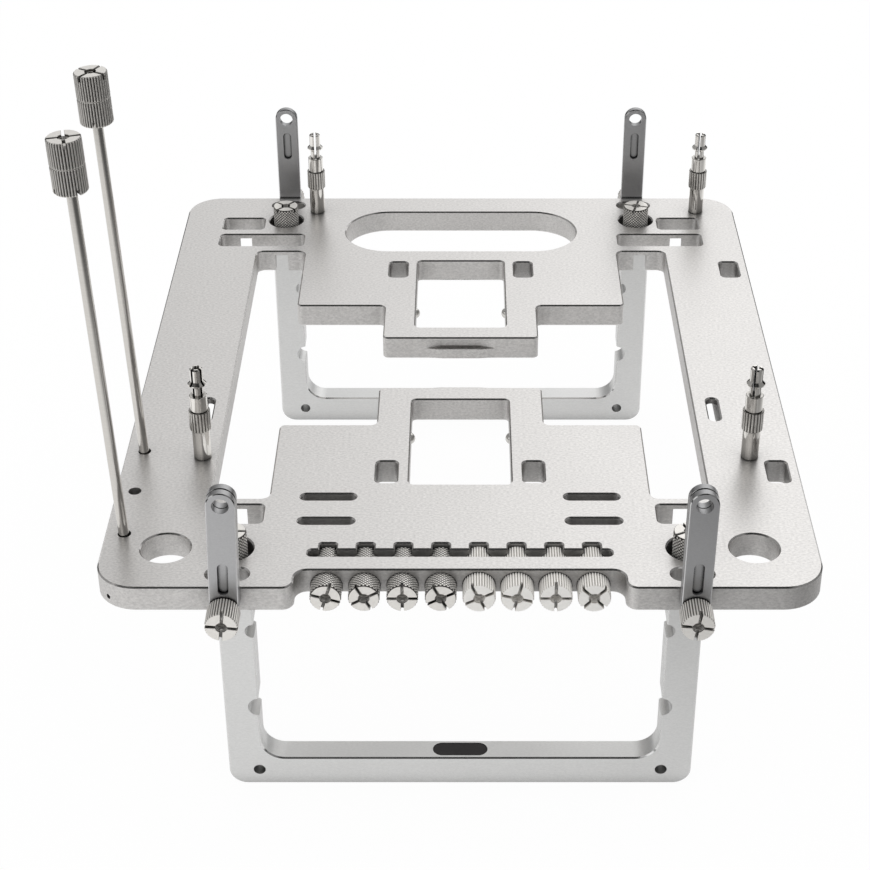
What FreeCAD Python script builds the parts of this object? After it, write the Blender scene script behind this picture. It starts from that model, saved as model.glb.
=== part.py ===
import FreeCAD, Part
import math
import os

# Open air test bench for a small computer board: a flat machined plate on two U-shaped leg
# frames that stow in its side channels, with snap standoffs, swinging side arms, two card
# rods and a rack of spare knurled posts in the front edge.
# Millimetres. X runs to the right, Y to the rear, Z up, and Z = 0 is the ground.
# Everything is built around the middle of the plate and moved once, just before export.

# Base plate
plate_w = 190.0
plate_d = 230.0
plate_t = 7.5
plate_corner_r = 11.0
edge_chamfer = 0.4

# Legs: one bar size for the two arms and the crossbar
leg_height = 72.0
leg_bar = 9.5
leg_t = 7.5
leg_outer_r = 5.0
leg_inner_r = 6.5
leg_end_r = 1.0
leg_board_inset = 16.97
leg_row_inset = 17.5
leg_notch_small = 4.4
leg_notch_small_drop = 17.5
leg_notch_small_depth = 2.4
leg_notch_large = 6.0
leg_notch_large_drop = 44.0
leg_notch_large_depth = 3.0
leg_corner_hole_d = 3.4
leg_corner_hole_x_inset = 8.5
leg_corner_hole_z = 5.2
leg_pad_l = 15.4
leg_pad_w = 5.3
leg_pad_t = 1.5
pad_sink = 0.1
pad_clear = 0.05

# Channels and the gap between the islands, where the legs stow
channel_w = 16.1
channel_end_clear = 2.0
channel_end_r = 2.5
gap_half = 36.0
tongue_w = 48.6
tongue_gap_half = 15.0
shoulder_r = 1.6
tongue_tip_r = 1.6
tongue_root_r = 2.0

# Catch on the end of each tongue: a low boss on one half of the edge, a recess on the other,
# and a sloping ledge between them
catch_base_w = 21.6
catch_tip_w = 11.6
catch_rise = 0.6
catch_split = 4.2
catch_recess = 1.0
catch_roof = 0.8
catch_drop = 0.8

# Windows and handle
window_w = 28.6
window_near_y = 21.8
window_far_y = 67.0
window_r = 1.6
detent_d = 3.5
detent_l = 6.0
detent_proud = 1.2
detent_clear = 0.05
detent_y = 37.6
handle_l = 78.8
handle_w = 29.6
handle_inset = 26.0

# Small openings in the plate
port_w = 6.0
port_l = 11.0
port_r = 1.5
port_x = 20.6
port_y = 60.8
port_edge_inset = 6.0
rail_slot_w = 3.4
rail_slot_l = 12.8
rail_slot_inset = 5.9
rail_slot_y = -27.5
rail_lip = 2.0
rail_pocket_extra = 12.0
thin_slot_l = 15.2
thin_slot_w = 3.2
thin_slot_x = 36.2
thin_slot_inset = 30.1
thin_slot_pitch = 11.6
corner_hole_d = 13.2
corner_hole_x_inset = 17.0
corner_hole_y_inset = 17.6
corner_pin_d = 1.4
corner_pin_l = 4.0
corner_pin_drop = 1.2
corner_pin_turn = 48.0

# Strap slots beside the channel ends and the bridge notches between them
strap_r = 1.5
strap_wall = 4.0
strap_front_wall = 3.0
strap_w = 8.6
strap_front_w = 9.0
strap_long_l = 28.4
strap_short_l = 14.0
strap_web = 3.8
strap_front_l = 13.6
strap_side = 7.0
bridge_w = 4.3
bridge_skin = 1.6
bridge_short_inset = 8.1

# Knurled thumbscrews: M4 shank, cross-slotted face with a centre hole
screw_d = 8.7
screw_chamfer = 0.3
flute_count = 32
flute_depth = 0.28
slot_w = 0.8
slot_depth = 1.6
face_hole_d = 3.0
face_hole_depth = 3.5
shank_d = 3.9
thread_clear = 0.05
shank_clear_d = 4.3
arm_screw_l = 7.0
arm_shank_l = 10.0
pivot_clear = 0.08
leg_screw_d = 8.5
leg_screw_proud = 5.5
leg_shank_l = 10.0
leg_tap_extra = 2.0
leg_recess_d = 11.5
leg_recess_depth = 5.0

# Slot behind each arm screw's edge wall
nut_slot_l = 11.2
nut_slot_w = 5.7
nut_slot_wall = 3.1

# Swinging arms
arm_w = 7.5
arm_t = 2.4
front_arm_reach = 32.4
rear_arm_reach = 33.5
front_arm_turns = {-1: 1.9, 1: 0.55}
arm_hole_d = 4.4
arm_groove_l = 9.8
arm_groove_w = 2.75
arm_groove_depth = 1.2
arm_groove_gap = 9.9
arm_chamfer = 0.25
arm_gap = 0.1

# Rack of spare posts in the front edge
rack_count = 8
rack_pitch = 10.0
rack_depth = 7.9
rack_end_r = 3.5
rack_mouth_r = 3.0
rack_end_side = 8.2
rack_web = 6.0
rack_slot_w = 3.1
rack_slot_side = 5.2
rack_slot_r = 1.2
rack_notch_w = 4.6
rack_notch_l = 2.9
rack_notch_r = 0.8
post_fine_d = 8.3
post_sink = 2.2
post_drop = 5.3
post_clear = 0.15
post_turns = (-17.0, 29.0, 0.0, 27.0, 26.0, -14.0, 0.0, 45.0)

# Board standoffs: hole pattern of a small square board, and their stepped height
board_row = 154.94
board_short_row = 132.08
board_depth = 157.48
board_shift = 4.53
board_rear_inset = 10.4
standoff_pin_d = 3.0
standoff_pin_l = 6.5
standoff_pin_clear = 0.1
barrel_d = 5.0
barrel_l = 9.4
grip_d = 6.05
grip_l = 6.2
grip_flutes = 20
grip_flute_depth = 0.22
neck_barrel_d = 4.95
neck_barrel_l = 4.9
neck_d = 3.1
neck_l = 2.6
barb_d = 5.2
barb_l = 2.0
barb_edge_l = 0.3
tip_d = 3.6
tip_l = 4.0
tip_chamfer = 0.4
split_w = 0.7
split_turns = {"front_left": 53.0, "front_right": 66.0, "rear_left": 5.0, "rear_right": 75.0}

# Card rods: they lean a little to the left, as they stand loose in their holes
rod_d = 2.8
rod_above = 113.0
rod_depth = 7.0
rod_lean = 2.0
rod_inset = 5.2
rod_rear_y = -50.3
rod_pitch = 20.32
rod_hole_d = 3.6
nut_l = 7.0
nut_top = 115.0
nut_hole_clear = 0.1
nut_turns = (12.0, 53.0, 59.0, 0.0)

# Places that follow from the sizes above
plate_z = leg_height
top_z = plate_z + plate_t
mid_z = plate_z + plate_t / 2
half_w = plate_w / 2
half_d = plate_d / 2
leg_x = board_row / 2 - leg_board_inset
leg_y = half_d - leg_row_inset
channel_half = leg_height + channel_end_clear
channel_in = leg_x - channel_w / 2
channel_out = leg_x + channel_w / 2
rod_x = rod_inset - half_w
arm_stack = arm_t + arm_gap
nut_reach = (nut_top - screw_chamfer + plate_t / 2) * math.sin(math.radians(rod_lean))
left_reach = -rod_x + nut_reach + screw_d / 2 * math.cos(math.radians(rod_lean))
frame_shift = FreeCAD.Vector((left_reach - half_w) / 2, arm_stack / 2, 0)

UP = FreeCAD.Vector(0, 0, 1)
ORIGIN = FreeCAD.Vector(0, 0, 0)
X_AXIS = FreeCAD.Vector(1, 0, 0)
Y_AXIS = FreeCAD.Vector(0, 1, 0)


def moved(shape, x, y, z):
    """A copy of the shape, moved."""
    result = shape.copy()
    result.translate(FreeCAD.Vector(x, y, z))
    return result


def turned(shape, centre, axis, angle):
    """A copy of the shape, turned by degrees about an axis through the centre."""
    result = shape.copy()
    result.rotate(centre, axis, angle)
    return result


def rounded_prism(corners, z0, height):
    """Prism over a polygon whose corners (x, y, radius) are rounded by arcs."""
    count = len(corners)
    stretches = []
    for i in range(count):
        x, y, radius = corners[i]
        here = FreeCAD.Vector(x, y, z0)
        before = FreeCAD.Vector(corners[i - 1][0], corners[i - 1][1], z0)
        after = FreeCAD.Vector(corners[(i + 1) % count][0], corners[(i + 1) % count][1], z0)
        into = (here - before).normalize()
        out = (after - here).normalize()
        half_turn = math.acos(max(-1.0, min(1.0, into.dot(out)))) / 2
        reach = radius * math.tan(half_turn)
        inward = (out - into).normalize()
        centre = here + inward * (radius / math.cos(half_turn))
        stretches.append((here - into * reach, centre - inward * radius, here + out * reach))
    edges = []
    for i in range(count):
        start, middle, end = stretches[i]
        edges.append(Part.Arc(start, middle, end).toShape())
        following = stretches[(i + 1) % count][0]
        if (following - end).Length > 1e-6:
            edges.append(Part.LineSegment(end, following).toShape())
    return Part.Face(Part.Wire(edges)).extrude(UP * height)


def rounded_block(x0, x1, y0, y1, z0, height, radius):
    """Block with its four upright edges rounded."""
    corners = [(x0, y0, radius), (x1, y0, radius), (x1, y1, radius), (x0, y1, radius)]
    return rounded_prism(corners, z0, height)


def obround(length, width, height, x, y, z, along_y=False):
    """Slot-shaped block with round ends, centred on x, y and standing on z."""
    straight = length - width
    block = Part.makeBox(straight, width, height, FreeCAD.Vector(-straight / 2, -width / 2, 0))
    centres = [FreeCAD.Vector(side * straight / 2, 0, 0) for side in (-1, 1)]
    ends = [Part.makeCylinder(width / 2, height, centre) for centre in centres]
    body = block.fuse(ends).removeSplitter()
    if along_y:
        body = turned(body, ORIGIN, UP, 90)
    return moved(body, x, y, z)


def chamfered(shape, size, levels):
    """Chamfer on every edge that lies flat at one of the given heights."""
    chosen = []
    for edge in shape.Edges:
        box = edge.BoundBox
        for level in levels:
            if abs(box.ZMin - level) < 1e-5 and abs(box.ZMax - level) < 1e-5:
                chosen.append(edge)
    return shape.makeChamfer(size, chosen)


def stood_up(shape):
    """Turn a shape drawn flat so that its drawing's Y is up and its top faces the front."""
    return turned(shape, ORIGIN, X_AXIS, 90)


def star_prism(radius, depth, teeth, height):
    """Straight-knurled prism: a ring of V grooves along its whole length."""
    points = []
    for i in range(2 * teeth):
        reach = radius if i % 2 == 0 else radius - depth
        angle = math.pi + math.pi * i / teeth
        points.append(FreeCAD.Vector(reach * math.cos(angle), reach * math.sin(angle), 0))
    points.append(points[0])
    return Part.Face(Part.makePolygon(points)).extrude(UP * height)


def knurled_body(diameter, length, straight, turn, hole_d=face_hole_d, hole_depth=face_hole_depth):
    """Knurled cylinder on Z = 0 with a cross-slotted upper face and a centre hole."""
    radius = diameter / 2
    rim = radius - screw_chamfer
    upper = length - screw_chamfer
    profile = [(0, 0), (rim, 0), (radius, screw_chamfer), (radius, upper), (rim, length), (0, length)]
    wire = Part.makePolygon([FreeCAD.Vector(x, 0, z) for x, z in profile + profile[:1]])
    body = Part.Face(wire).revolve(ORIGIN, UP, 360)
    if straight:
        body = body.common(star_prism(radius, flute_depth, flute_count, length))
    slot_corner = FreeCAD.Vector(-radius, -slot_w / 2, length - slot_depth)
    slot = Part.makeBox(diameter, slot_w, slot_depth, slot_corner)
    cuts = [turned(slot, ORIGIN, UP, turn + quarter) for quarter in (0, 90)]
    cuts.append(Part.makeCylinder(hole_d / 2, hole_depth, UP * (length - hole_depth)))
    return body.cut(cuts)


def thumbscrew(diameter, length, shank_l, straight, turn, shoulder_l=0.0):
    """Knurled head on Z = 0 with its shank below, thicker along the shoulder that arms turn on."""
    head = knurled_body(diameter, length, straight, turn)
    stems = [Part.makeCylinder(shank_d / 2, shank_l, UP * -shank_l)]
    if shoulder_l > 0:
        stems.append(Part.makeCylinder(arm_hole_d / 2 - pivot_clear, shoulder_l, UP * -shoulder_l))
    return head.fuse(stems)


def plate_outline():
    """Outer form of the plate, with the rack's bay in its front edge."""
    bay = rack_pitch * (rack_count - 1) / 2 + rack_end_side
    bay_y = rack_depth - half_d
    corner = plate_corner_r
    corners = [(-half_w, -half_d, corner), (-bay, -half_d, rack_mouth_r), (-bay, bay_y, rack_end_r)]
    corners += [(bay, bay_y, rack_end_r), (bay, -half_d, rack_mouth_r), (half_w, -half_d, corner)]
    corners += [(half_w, half_d, corner), (-half_w, half_d, corner)]
    return rounded_prism(corners, plate_z, plate_t)


def stow_opening():
    """The two leg channels and the gap between the islands, as one opening."""
    tongue = tongue_w / 2
    quarter = [(channel_out, channel_half, channel_end_r), (channel_in, channel_half, channel_end_r)]
    quarter += [(channel_in, gap_half, shoulder_r), (tongue, gap_half, tongue_root_r)]
    quarter += [(tongue, tongue_gap_half, tongue_tip_r)]
    rear = quarter + [(-x, y, radius) for x, y, radius in reversed(quarter)]
    return rounded_prism(rear + [(x, -y, radius) for x, y, radius in reversed(rear)], plate_z, plate_t)


def window(side):
    """Window in one island: side is 1 at the rear and -1 at the front."""
    low, high = sorted((side * window_near_y, side * window_far_y))
    return rounded_block(-window_w / 2, window_w / 2, low, high, plate_z, plate_t, window_r)


def detent_places():
    """Name and side signs of the ball detents in the window walls."""
    return {name + "_detent": signs for name, signs in corner_places().items()}


def detent(side_x, side_y):
    """Ball-ended pin pressed into a window's side wall, with its ball standing proud."""
    radius = detent_d / 2
    ball_x = window_w / 2 - detent_proud + radius
    root_x = window_w / 2 - detent_proud + detent_l
    ball = Part.makeSphere(radius, FreeCAD.Vector(side_x * ball_x, side_y * detent_y, mid_z))
    start = FreeCAD.Vector(side_x * root_x, side_y * detent_y, mid_z)
    stem = Part.makeCylinder(radius, root_x - ball_x, start, X_AXIS * -side_x)
    return stem.fuse(ball).removeSplitter()


def detent_hole(side_x, side_y):
    """Blind hole for a ball-ended pin."""
    root_x = window_w / 2 - detent_proud + detent_l
    start = FreeCAD.Vector(side_x * root_x, side_y * detent_y, mid_z)
    return Part.makeCylinder(detent_d / 2 + detent_clear, detent_l, start, X_AXIS * -side_x)


def catch_prism(side, reach, z0, height):
    """Trapezoid on a tongue's end: a positive reach stands proud, a negative one cuts in."""
    face_y = side * tongue_gap_half
    end_y = face_y - side * reach
    base, tip = catch_base_w / 2, catch_tip_w / 2
    points = [(-base, face_y), (-tip, end_y), (tip, end_y), (base, face_y), (-base, face_y)]
    wire = Part.makePolygon([FreeCAD.Vector(x, y, z0) for x, y in points])
    return Part.Face(wire).extrude(UP * height)


def catch_slope(side):
    """What is cut away over the sloping ledge between a catch's boss and its recess."""
    ledge_z = plate_z + catch_split if side > 0 else top_z - catch_split
    back_y = side * (tongue_gap_half + catch_recess)
    tip_y = side * (tongue_gap_half - catch_rise)
    low_z = ledge_z - side * catch_drop
    points = [(back_y, ledge_z), (tip_y, ledge_z), (tip_y, low_z), (back_y, ledge_z)]
    wire = Part.makePolygon([FreeCAD.Vector(-catch_base_w / 2, y, z) for y, z in points])
    wedge = Part.Face(wire).extrude(X_AXIS * catch_base_w)
    boss, recess = [catch_prism(side, reach, plate_z, plate_t) for reach in (catch_rise, -catch_recess)]
    return wedge.common(boss.fuse(recess))


def bridge_notch(x, y0, y1):
    """Notch cut from below through a wall that runs from y0 to y1."""
    height = plate_t - bridge_skin
    return Part.makeBox(bridge_w, y1 - y0, height, FreeCAD.Vector(x - bridge_w / 2, y0, plate_z))


def strap_cuts():
    """Strap slots past the channel ends, and the low notches that join them."""
    slots = []
    notches = []
    inner = leg_x - strap_side
    long_y0 = channel_half + strap_wall
    long_y1 = long_y0 + strap_w
    short_y0 = long_y1 + strap_web
    front_y1 = -channel_half - strap_front_wall
    front_y0 = front_y1 - strap_front_w
    for side in (-1, 1):
        spans = [(inner, strap_long_l, long_y0, long_y1)]
        spans.append((inner + strap_long_l - strap_short_l, strap_short_l, short_y0, short_y0 + strap_w))
        spans.append((inner, strap_front_l, front_y0, front_y1))
        for start, length, y0, y1 in spans:
            x0, x1 = sorted((side * start, side * (start + length)))
            slots.append(rounded_block(x0, x1, y0, y1, plate_z, plate_t, strap_r))
        notches.append(bridge_notch(side * leg_x, channel_half, long_y0))
        short_x = side * (inner + strap_long_l - bridge_short_inset)
        notches.append(bridge_notch(short_x, long_y1, short_y0))
        notches.append(bridge_notch(side * leg_x, front_y1, -channel_half))
    return slots, notches


def rack_positions():
    """X of each spare post."""
    first = -rack_pitch * (rack_count - 1) / 2
    return [first + rack_pitch * i for i in range(rack_count)]


def post_diameter(index):
    """The left half of the rack holds fine-knurled posts and the right half straight-knurled ones."""
    return post_fine_d if index < rack_count // 2 else screw_d


def rack_cuts():
    """The long slot with its notches, and the round channels that hold the posts."""
    bay_y = rack_depth - half_d
    slot_y0 = bay_y + rack_web
    slot_y1 = slot_y0 + rack_slot_w
    end = rack_pitch * (rack_count - 1) / 2 + rack_slot_side
    slot = rounded_block(-end, end, slot_y0, slot_y1, plate_z, plate_t, rack_slot_r)
    notch_end = slot_y1 + rack_notch_l
    axis_z = top_z - post_drop
    notches = []
    channels = []
    for i, x in enumerate(rack_positions()):
        x0, x1 = x - rack_notch_w / 2, x + rack_notch_w / 2
        start_y = slot_y0 + rack_slot_w / 2
        notches.append(rounded_block(x0, x1, start_y, notch_end, plate_z, plate_t, rack_notch_r))
        radius = post_diameter(i) / 2 + post_clear
        start = FreeCAD.Vector(x, bay_y, axis_z)
        channels.append(Part.makeCylinder(radius, notch_end - bay_y, start, Y_AXIS))
    return slot.fuse(notches).removeSplitter(), channels


def board_holes():
    """Name and place of each board standoff."""
    right_x = board_shift + board_row / 2
    rear_y = half_d - board_rear_inset
    front_y = rear_y - board_depth
    places = {"rear_left": (right_x - board_short_row, rear_y), "rear_right": (right_x, rear_y)}
    places["front_left"] = (right_x - board_row, front_y)
    places["front_right"] = (right_x, front_y)
    return places


def corner_places():
    """Name and side signs of the four corners."""
    return {"front_left": (-1, -1), "front_right": (1, -1), "rear_left": (-1, 1), "rear_right": (1, 1)}


def nut_slots():
    """The slot behind each arm screw's edge wall."""
    slot_y = half_d - nut_slot_wall - nut_slot_w / 2
    places = [(side_x * leg_x, side_y * slot_y) for side_x, side_y in corner_places().values()]
    return [obround(nut_slot_l, nut_slot_w, plate_t, x, y, plate_z) for x, y in places]


def fixing_cuts():
    """Recesses and holes for the leg screws, the arm screws, the standoffs and the rods."""
    cuts = []
    recess_r = leg_recess_d / 2
    for side_x, side_y in corner_places().values():
        x, y = side_x * leg_x, side_y * leg_y
        floor = FreeCAD.Vector(x, y, top_z - leg_recess_depth)
        cuts.append(Part.makeCylinder(recess_r, leg_recess_depth, floor))
        rim = FreeCAD.Vector(x, y, top_z - edge_chamfer)
        cuts.append(Part.makeCone(recess_r, recess_r + edge_chamfer, edge_chamfer, rim))
        cuts.append(Part.makeCylinder(shank_clear_d / 2, plate_t, FreeCAD.Vector(x, y, plate_z)))
        tap_r = shank_d / 2 + thread_clear
        face = FreeCAD.Vector(x, side_y * half_d, mid_z)
        cuts.append(Part.makeCylinder(tap_r, nut_slot_wall + nut_slot_w / 2, face, Y_AXIS * -side_y))
    pin_r = standoff_pin_d / 2 + standoff_pin_clear
    for x, y in board_holes().values():
        cuts.append(Part.makeCylinder(pin_r, plate_t, FreeCAD.Vector(x, y, plate_z)))
    for i in range(3):
        place = FreeCAD.Vector(rod_x, rod_rear_y - rod_pitch * i, plate_z)
        cuts.append(Part.makeCylinder(rod_hole_d / 2, plate_t, place))
    return cuts


def small_cuts():
    """Ports, rail slots, thin slots and the round corner holes."""
    cuts = []
    ports = [(x, y) for x in (-port_x, port_x, half_w - port_edge_inset) for y in (-port_y, port_y)]
    for x, y in ports:
        x0, x1 = x - port_w / 2, x + port_w / 2
        cuts.append(rounded_block(x0, x1, y - port_l / 2, y + port_l / 2, plate_z, plate_t, port_r))
    corner_y = corner_hole_y_inset - half_d
    for side in (-1, 1):
        rail_x = side * (channel_out + rail_slot_inset)
        cuts.append(obround(rail_slot_l, rail_slot_w, plate_t, rail_x, rail_slot_y, plate_z, True))
        for step in (0, 1):
            y = thin_slot_inset - half_d + thin_slot_pitch * step
            cuts.append(obround(thin_slot_l, thin_slot_w, plate_t, side * thin_slot_x, y, plate_z))
        corner_x = side * (half_w - corner_hole_x_inset)
        place = FreeCAD.Vector(corner_x, corner_y, plate_z)
        cuts.append(Part.makeCylinder(corner_hole_d / 2, plate_t, place))
    return cuts


def rail_pockets():
    """Pocket under each rail slot: it leaves a thin lip and runs on to the rear."""
    length = rail_slot_l + rail_pocket_extra
    height = plate_t - rail_lip
    y = rail_slot_y + rail_pocket_extra / 2
    places = [side * (channel_out + rail_slot_inset) for side in (-1, 1)]
    return [obround(length, rail_slot_w, height, x, y, plate_z, True) for x in places]


def corner_pin_hole():
    """Blind pin hole in the rounded front left corner."""
    angle = math.radians(corner_pin_turn)
    outward = FreeCAD.Vector(-math.cos(angle), -math.sin(angle), 0)
    middle = FreeCAD.Vector(plate_corner_r - half_w, plate_corner_r - half_d, mid_z - corner_pin_drop)
    start = middle + outward * (plate_corner_r - corner_pin_l)
    return Part.makeCylinder(corner_pin_d / 2, corner_pin_l * 2, start, outward)


def base_plate():
    """The machined plate with every opening."""
    body = plate_outline()
    handle_y = half_d - handle_inset
    handle = obround(handle_l, handle_w, plate_t, 0, handle_y, plate_z)
    strap_slots, strap_notches = strap_cuts()
    rack_slot, rack_channels = rack_cuts()
    openings = [stow_opening(), window(1), window(-1), handle, rack_slot]
    body = body.cut(openings + strap_slots + nut_slots() + small_cuts())
    body = chamfered(body, edge_chamfer, (plate_z, top_z))
    catch_low = catch_split - edge_chamfer
    bosses = [catch_prism(1, catch_rise, plate_z + edge_chamfer, catch_low)]
    bosses.append(catch_prism(-1, catch_rise, top_z - catch_split, catch_low))
    body = body.fuse(bosses)
    recess_h = plate_t - catch_split - catch_roof
    cuts = [catch_prism(1, -catch_recess, plate_z + catch_split, recess_h)]
    cuts.append(catch_prism(-1, -catch_recess, plate_z + catch_roof, recess_h))
    cuts += [catch_slope(1), catch_slope(-1)]
    cuts += strap_notches + rack_channels + fixing_cuts() + rail_pockets() + [corner_pin_hole()]
    cuts += [detent_hole(side_x, side_y) for side_x, side_y in detent_places().values()]
    return body.cut(cuts).removeSplitter()


def leg_frame(side):
    """U-shaped leg frame that stands under the plate: side is 1 at the rear and -1 at the front."""
    outer = leg_x + leg_bar / 2
    inner = leg_x - leg_bar / 2
    right = [(outer, 0, leg_outer_r), (outer, leg_height, leg_end_r), (inner, leg_height, leg_end_r)]
    right += [(inner, leg_bar, leg_inner_r)]
    left = [(-x, z, radius) for x, z, radius in reversed(right)]
    flat = chamfered(rounded_prism(right + left, 0, leg_t), edge_chamfer, (0, leg_t))
    cuts = []
    for mirror in (-1, 1):
        small_z = leg_height - leg_notch_small_drop
        large_z = leg_height - leg_notch_large_drop
        notches = [(small_z, leg_notch_small, leg_notch_small_depth)]
        notches.append((large_z, leg_notch_large, leg_notch_large_depth))
        for z, height, depth in notches:
            length = depth + leg_bar
            x = mirror * (inner + depth - length / 2)
            cuts.append(obround(length, height, leg_t, x, z, 0))
        hole_x = mirror * (outer - leg_corner_hole_x_inset)
        place = FreeCAD.Vector(hole_x, leg_corner_hole_z, 0)
        cuts.append(Part.makeCylinder(leg_corner_hole_d / 2, leg_t, place))
    body = stood_up(flat.cut(cuts))
    body = moved(body, 0, side * leg_y + leg_t / 2, 0)
    tap_l = leg_shank_l + leg_tap_extra - (plate_t - leg_recess_depth)
    fixings = []
    for mirror in (-1, 1):
        place = FreeCAD.Vector(mirror * leg_x, side * leg_y, leg_height - tap_l)
        fixings.append(Part.makeCylinder(shank_d / 2 + thread_clear, tap_l, place))
    pocket_l = leg_pad_l + 2 * pad_clear
    pocket_w = leg_pad_w + 2 * pad_clear
    pocket_z = leg_bar - leg_pad_t - pad_sink
    fixings.append(obround(pocket_l, pocket_w, leg_bar, 0, side * leg_y, pocket_z))
    return body.cut(fixings).removeSplitter()


def leg_pad(side):
    """Black pad let into the upper face of a leg's crossbar."""
    return obround(leg_pad_l, leg_pad_w, leg_pad_t, 0, side * leg_y, leg_bar - leg_pad_t - pad_sink)


def leg_screw(side_x, side_y, turn):
    """Thumbscrew that clamps the plate to a leg: it stands on the floor of its recess."""
    length = leg_recess_depth + leg_screw_proud
    screw = thumbscrew(leg_screw_d, length, leg_shank_l, False, turn)
    return moved(screw, side_x * leg_x, side_y * leg_y, top_z - leg_recess_depth)


def arm(reach, groove_y):
    """Flat arm drawn upright from its pivot hole, with its blind groove to the front."""
    flat = obround(reach + arm_w, arm_w, arm_t, 0, reach / 2, 0, True)
    flat = chamfered(flat, arm_chamfer, (0, arm_t))
    cuts = [Part.makeCylinder(arm_hole_d / 2, arm_t, FreeCAD.Vector(0, y, 0)) for y in (0, reach)]
    floor = arm_t - arm_groove_depth
    cuts.append(obround(arm_groove_l, arm_groove_w, arm_t, 0, groove_y, floor, True))
    return stood_up(flat.cut(cuts))


def placed_arm(side_x, side_y, layer):
    """Arm on its screw: layer 0 lies against the plate and layer 1 in front of it."""
    if side_y < 0:
        y = -half_d - arm_stack * layer - arm_gap
        flat_arm = turned(arm(front_arm_reach, arm_groove_gap), ORIGIN, Y_AXIS, front_arm_turns[side_x])
    else:
        y = half_d + arm_gap + arm_t
        flat_arm = arm(rear_arm_reach, rear_arm_reach - arm_groove_gap)
    return moved(flat_arm, side_x * leg_x, y, mid_z)


def arm_screw(side_x, side_y, turn):
    """Thumbscrew through the arms at one corner: its shoulder seats on the plate's edge."""
    layers = 2 if side_y < 0 else 1
    stack = arm_stack * layers + arm_gap
    screw = thumbscrew(screw_d, arm_screw_l, arm_shank_l, True, turn, stack)
    screw = turned(screw, ORIGIN, X_AXIS, -90 * side_y)
    return moved(screw, side_x * leg_x, side_y * (half_d + stack), mid_z)


def spare_post(index):
    """Knurled post that lies in its round channel with its slotted face to the front."""
    bay_y = rack_depth - half_d
    back_y = bay_y + rack_web + rack_slot_w + rack_notch_l - post_clear
    length = back_y + half_d - post_sink
    straight = index >= rack_count // 2
    body = knurled_body(post_diameter(index), length, straight, post_turns[index % len(post_turns)])
    return moved(turned(body, ORIGIN, X_AXIS, 90), rack_positions()[index], back_y, top_z - post_drop)


def standoff(x, y, split_turn):
    """Snap standoff: pin, barrel, knurled grip, neck barrel, narrow neck, barb and split tip."""
    tiers = [(barrel_d, barrel_l), (grip_d, grip_l), (neck_barrel_d, neck_barrel_l), (neck_d, neck_l)]
    profile = [(0, -standoff_pin_l), (standoff_pin_d / 2, -standoff_pin_l), (standoff_pin_d / 2, 0)]
    z = 0.0
    for diameter, length in tiers:
        profile += [(diameter / 2, z), (diameter / 2, z + length)]
        z += length
    slope_l = (barb_l - barb_edge_l) / 2
    profile += [(barb_d / 2, z + slope_l), (barb_d / 2, z + slope_l + barb_edge_l), (tip_d / 2, z + barb_l)]
    z += barb_l + tip_l
    profile += [(tip_d / 2, z - tip_chamfer), (tip_d / 2 - tip_chamfer, z), (0, z), (0, -standoff_pin_l)]
    wire = Part.makePolygon([FreeCAD.Vector(r, 0, height) for r, height in profile])
    body = Part.Face(wire).revolve(ORIGIN, UP, 360)
    grooved = moved(star_prism(grip_d / 2, grip_flute_depth, grip_flutes, grip_l), 0, 0, barrel_l)
    band = Part.makeCylinder(grip_d / 2, grip_l, UP * barrel_l)
    body = body.cut(band.cut(grooved))
    split_h = tip_l + barb_l + neck_l
    split = Part.makeBox(barb_d, split_w, split_h, FreeCAD.Vector(-barb_d / 2, -split_w / 2, z - split_h))
    body = body.cut([turned(split, ORIGIN, UP, split_turn + quarter) for quarter in (0, 90)])
    return moved(body, x, y, top_z)


def leaned(shape, y):
    """Stand a rod piece, drawn on the Z axis from the plate's top, in its hole with its lean."""
    placed = moved(shape, rod_x, y, top_z)
    return turned(placed, FreeCAD.Vector(rod_x, y, mid_z), Y_AXIS, -rod_lean)


def rod(y):
    """Long smooth rod whose end stands in its hole."""
    return leaned(Part.makeCylinder(rod_d / 2, rod_above + rod_depth, UP * -rod_depth), y)


def rod_nut(y, level, turn):
    """Knurled nut on a rod: level 0 is the upper one, level 1 the lower one turned over."""
    body = knurled_body(screw_d, nut_l, True, turn, rod_d + 2 * nut_hole_clear, nut_l)
    if level == 1:
        body = turned(body, UP * (nut_l / 2), X_AXIS, 180)
    return leaned(moved(body, 0, 0, nut_top - nut_l * (level + 1)), y)


def build():
    """Every piece by name, around the middle of the plate."""
    pieces = {"base_plate": base_plate()}
    for name, side in (("front", -1), ("rear", 1)):
        pieces[name + "_leg"] = leg_frame(side)
        pieces[name + "_leg_pad"] = leg_pad(side)
    for i, (name, (side_x, side_y)) in enumerate(corner_places().items()):
        pieces[name + "_leg_screw"] = leg_screw(side_x, side_y, 25.0 * i)
        pieces[name + "_arm"] = placed_arm(side_x, side_y, 0)
        if side_y < 0:
            pieces[name + "_outer_arm"] = placed_arm(side_x, side_y, 1)
        pieces[name + "_arm_screw"] = arm_screw(side_x, side_y, 6.0 * side_x)
    for i in range(rack_count):
        pieces["spare_post_%d" % (i + 1)] = spare_post(i)
    for name, (side_x, side_y) in detent_places().items():
        pieces[name] = detent(side_x, side_y)
    for name, (x, y) in board_holes().items():
        pieces[name + "_standoff"] = standoff(x, y, split_turns[name])
    for i, name in enumerate(("front", "rear")):
        y = rod_rear_y - rod_pitch * 2 * (1 - i)
        pieces[name + "_rod"] = rod(y)
        pieces[name + "_rod_upper_nut"] = rod_nut(y, 0, nut_turns[2 * i])
        pieces[name + "_rod_lower_nut"] = rod_nut(y, 1, nut_turns[2 * i + 1])
    return pieces


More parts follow.
